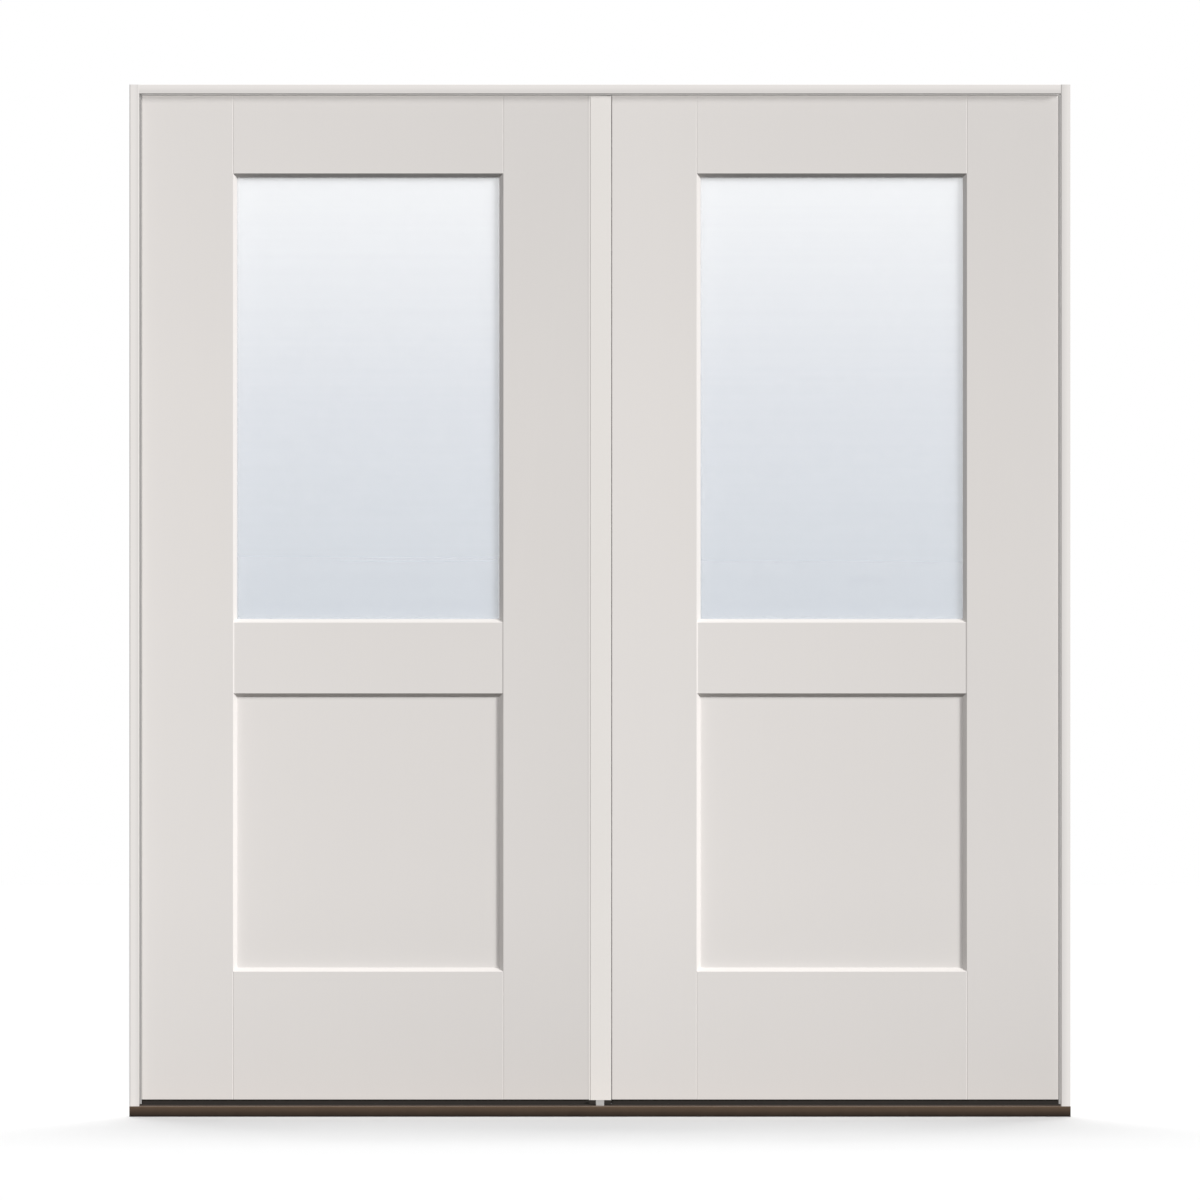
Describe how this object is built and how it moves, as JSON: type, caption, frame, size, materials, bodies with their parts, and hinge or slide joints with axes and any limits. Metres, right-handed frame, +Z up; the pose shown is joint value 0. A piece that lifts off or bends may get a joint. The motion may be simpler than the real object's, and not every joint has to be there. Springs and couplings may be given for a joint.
{
  "type": "glazed double entry door",
  "caption": "Double entry door in its frame: moulded leaves with half-height glass over a flat panel, astragal, weatherstrip, hinges, bolts and a metal sill.",
  "frame": {"origin": "under the meeting edge, at the outer face of the frame and the sill's underside", "axes": "+X to the right seen from outside, +Y inwards through the wall, +Z up"},
  "size_m": [1.882, 0.154, 2.064],
  "materials": {
    "leaf_paint": "smooth satin paint on moulded skin",
    "frame_paint": "satin paint",
    "astragal_paint": "satin paint",
    "edge_paint": "satin paint on timber",
    "edge_timber": "bare laminated timber",
    "composite": "matte composite",
    "foam": "rigid foam",
    "surround": "matte",
    "glass": "clear",
    "spacer_bar": "satin",
    "sweep_rubber": "matte",
    "bronze_metal": "bronze anodised",
    "cap_dark": "matte",
    "strip_foam": "matte foam",
    "boot_grey": "matte",
    "hinge_steel": "satin",
    "screw_steel": "satin",
    "bolt_steel": "satin"
  },
  "bodies": {
    "frame": {"left_jamb": "frame_paint", "right_jamb": "frame_paint", "head_jamb": "frame_paint", "sill_tread": "bronze_metal", "sill_base": "composite", "threshold_cap": "cap_dark", "left_weatherstrip": "strip_foam", "right_weatherstrip": "strip_foam", "head_weatherstrip": "strip_foam", "head_strike": "hinge_steel", "left_top_hinge_frame_plate": "hinge_steel", "left_middle_hinge_frame_plate": "hinge_steel", "left_bottom_hinge_frame_plate": "hinge_steel", "left_hinge_pins": "hinge_steel", "right_top_hinge_frame_plate": "hinge_steel", "right_middle_hinge_frame_plate": "hinge_steel", "right_bottom_hinge_frame_plate": "hinge_steel", "right_hinge_pins": "hinge_steel", "frame_hinge_screws": "screw_steel"},
    "passive_leaf": {"left_outer_skin": "leaf_paint", "left_inner_skin": "leaf_paint", "left_hinge_stile": "edge_paint", "left_lock_stile": "edge_paint", "left_top_strip": "edge_timber", "left_bottom_strip": "composite", "left_foam_core": "foam", "left_lock_block": "edge_timber", "left_glazing_surround": "surround", "left_outer_pane": "glass", "left_inner_pane": "glass", "left_spacer": "spacer_bar", "left_sweep": "sweep_rubber", "left_top_hinge_leaf_plate": "hinge_steel", "left_middle_hinge_leaf_plate": "hinge_steel", "left_bottom_hinge_leaf_plate": "hinge_steel", "left_leaf_hinge_screws": "screw_steel", "astragal": "astragal_paint", "astragal_seal": "strip_foam", "astragal_boot": "boot_grey", "astragal_sweep": "sweep_rubber", "bolt_plates": "bolt_steel"},
    "active_leaf": {"right_outer_skin": "leaf_paint", "right_inner_skin": "leaf_paint", "right_hinge_stile": "edge_paint", "right_lock_stile": "edge_paint", "right_top_strip": "edge_timber", "right_bottom_strip": "composite", "right_foam_core": "foam", "right_lock_block": "edge_timber", "right_glazing_surround": "surround", "right_outer_pane": "glass", "right_inner_pane": "glass", "right_spacer": "spacer_bar", "right_sweep": "sweep_rubber", "right_top_hinge_leaf_plate": "hinge_steel", "right_middle_hinge_leaf_plate": "hinge_steel", "right_bottom_hinge_leaf_plate": "hinge_steel", "right_leaf_hinge_screws": "screw_steel"},
    "top_bolt": {"top_bolt": "bolt_steel"},
    "bottom_bolt": {"bottom_bolt": "bolt_steel"}
  },
  "joints": [
    {"name": "passive_leaf_swing", "type": "hinge", "parent": "frame", "child": "passive_leaf", "pos_m": [-0.9255, 0.122, 0], "axis": [0, 0, 1], "range_deg": [0, 110]},
    {"name": "active_leaf_swing", "type": "hinge", "parent": "frame", "child": "active_leaf", "pos_m": [0.9255, 0.122, 0], "axis": [0, 0, -1], "range_deg": [0, 110]},
    {"name": "top_bolt_slide", "type": "slide", "parent": "passive_leaf", "child": "top_bolt", "axis": [0, 0, 1], "range_m": [0, 0.013]},
    {"name": "bottom_bolt_slide", "type": "slide", "parent": "passive_leaf", "child": "bottom_bolt", "axis": [0, 0, -1], "range_m": [0, 0.02]}
  ]
}
